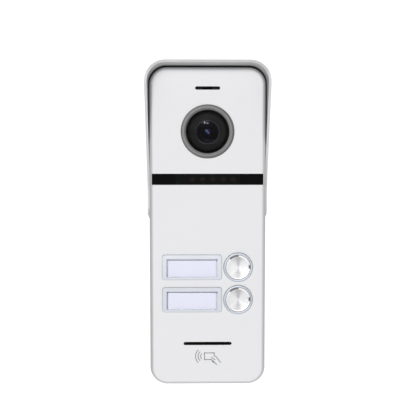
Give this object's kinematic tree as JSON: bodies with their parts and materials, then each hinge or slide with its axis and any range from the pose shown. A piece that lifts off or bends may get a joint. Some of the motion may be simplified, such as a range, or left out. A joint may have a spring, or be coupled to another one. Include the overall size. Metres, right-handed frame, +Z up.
{
  "type": "video intercom door station",
  "caption": "Slim outdoor intercom call panel with a camera, an infrared window, call buttons with lit name plates, a card reader and a speaker, under a metal rain hood.",
  "frame": {"origin": "centre of the two wall screw holes, on the wall plane", "axes": "+Y into the wall, -Y out of the panel's face, +Z up, +X to the right for someone facing the panel"},
  "size_m": [0.0486, 0.0286, 0.1279],
  "materials": {
    "silver_paint": "satin silver paint on a moulded housing",
    "hood_aluminium": "satin painted folded aluminium sheet",
    "zinc_steel": "zinc-plated",
    "stainless_screws": "plain stainless",
    "black_moulding": "fine black spark texture",
    "dark_baffle": "matt black, stepped",
    "silicone": "soft matt silicone",
    "grommet_rubber": "soft matt rubber",
    "foam": "closed-cell foam",
    "grey_ring": "turned, dark grey anodised",
    "clear_glass": "clear and polished",
    "coated_glass": "polished with a violet coating",
    "sensor_glass": "glossy cover over the sensor",
    "green_board": "green solder mask",
    "white_board": "white solder mask",
    "black_acrylic": "polished black acrylic that passes infrared light",
    "lamp_epoxy": "smoky epoxy",
    "clear_epoxy": "clear epoxy",
    "nickel": "nickel-plated",
    "speaker_steel": "plated steel",
    "speaker_paper": "coated paper",
    "plate_acrylic": "polished, pale blue-grey",
    "window_acrylic": "clear acrylic",
    "label_film": "matt translucent film, lit from behind",
    "opal_guide": "opal acrylic",
    "bezel_metal": "turned and polished",
    "spun_aluminium": "spun, with fine rings",
    "spring_steel": "bright spring wire",
    "board_components": "moulded black packages",
    "terminal_plastic": "moulded green nylon"
  },
  "bodies": {
    "panel": {"rain_hood": "hood_aluminium", "wall_bracket": "zinc_steel", "locking_screw": "stainless_screws", "front_housing": "silver_paint", "rear_cover": "black_moulding", "cover_seal": "silicone", "cover_screws": "stainless_screws", "cable_grommet": "grommet_rubber", "lens_ring": "grey_ring", "lens_window": "clear_glass", "lens_baffle": "dark_baffle", "lens_barrel": "black_moulding", "lens_front_element": "coated_glass", "lens_rear_element": "coated_glass", "lens_holder": "black_moulding", "image_sensor": "sensor_glass", "camera_board": "green_board", "camera_screws": "stainless_screws", "ir_window": "black_acrylic", "ir_board": "white_board", "ir_lamps": "lamp_epoxy", "light_sensor": "clear_epoxy", "ir_board_screws": "stainless_screws", "microphone": "nickel", "mic_boot": "silicone", "speaker_frame": "speaker_steel", "speaker_cone": "speaker_paper", "speaker_magnet": "speaker_steel", "speaker_gasket": "foam", "reader_antenna": "green_board", "name_frame_1": "plate_acrylic", "name_frame_2": "plate_acrylic", "name_window_1": "window_acrylic", "name_window_2": "window_acrylic", "name_label_1": "label_film", "name_label_2": "label_film", "light_guide_1": "opal_guide", "light_guide_2": "opal_guide", "label_lamps": "clear_epoxy", "button_bezel_1": "bezel_metal", "button_bezel_2": "bezel_metal", "button_spring_1": "spring_steel", "button_spring_2": "spring_steel", "switch_body_1": "black_moulding", "switch_body_2": "black_moulding", "button_board": "green_board", "button_board_screws": "stainless_screws", "main_board": "green_board", "board_parts": "board_components", "main_board_screws": "stainless_screws", "cable_terminal": "terminal_plastic"},
    "button_1": {"button_cap_1": "spun_aluminium", "switch_plunger_1": "black_moulding"},
    "button_2": {"button_cap_2": "spun_aluminium", "switch_plunger_2": "black_moulding"}
  },
  "joints": [
    {"name": "button_1_press", "type": "slide", "parent": "panel", "child": "button_1", "axis": [0, 1, 0], "range_m": [0, 0.0009], "stiffness_N_per_m": 600, "springref_m": -0.001, "deforming": ["button_spring_1"]},
    {"name": "button_2_press", "type": "slide", "parent": "panel", "child": "button_2", "axis": [0, 1, 0], "range_m": [0, 0.0009], "stiffness_N_per_m": 600, "springref_m": -0.001, "deforming": ["button_spring_2"]}
  ]
}
